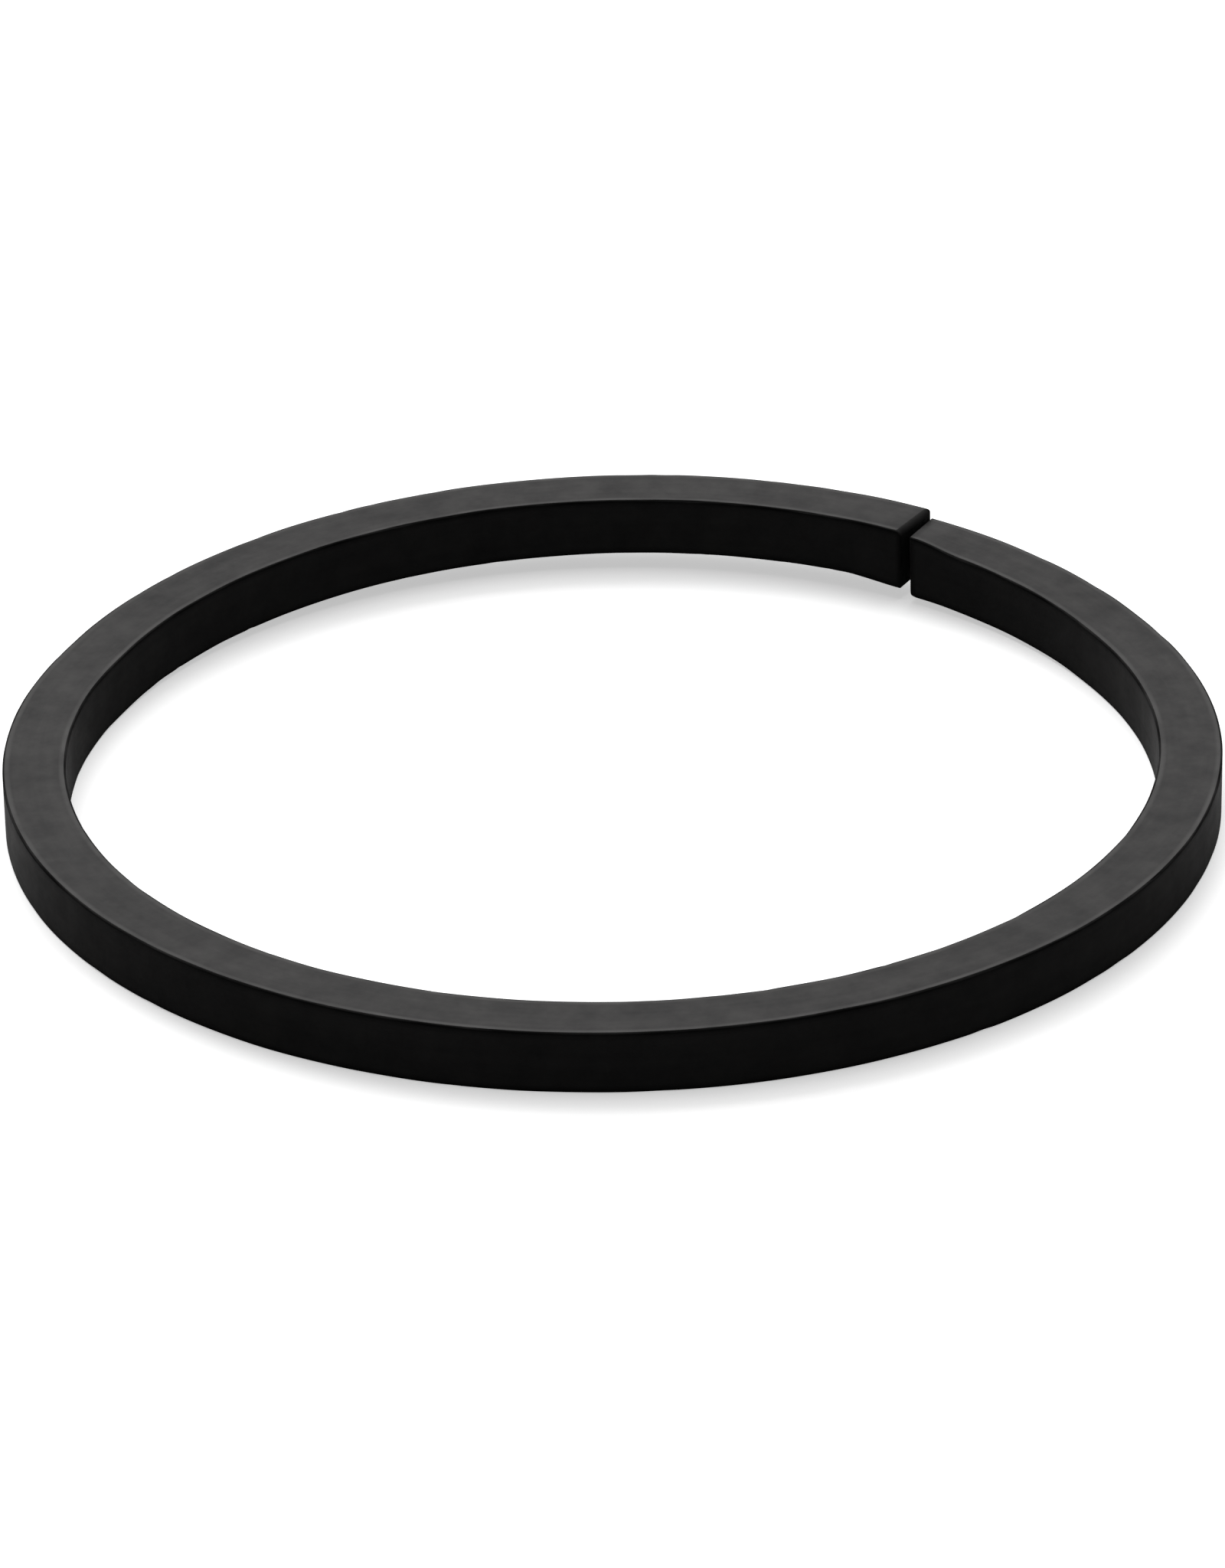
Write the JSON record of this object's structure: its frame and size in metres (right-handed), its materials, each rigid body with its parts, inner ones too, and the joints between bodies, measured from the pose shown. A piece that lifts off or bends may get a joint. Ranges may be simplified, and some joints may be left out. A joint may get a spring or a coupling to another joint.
{
  "type": "snap ring",
  "caption": "Split retaining ring of square black spring wire, nearly closed, that grips a groove in a shaft.",
  "frame": {"origin": "centre of the ring's circle, on its lower flat face", "axes": "+Z along the ring's axis, up from the face it lies on; +X through the middle of the split; the end that stands higher is on the +Y side"},
  "size_m": [0.0385, 0.0385, 0.0026],
  "materials": {
    "black_spring_steel": "satin black oxide on drawn spring wire"
  },
  "bodies": {
    "root": {"snap_ring": "black_spring_steel"}
  },
  "joints": []
}
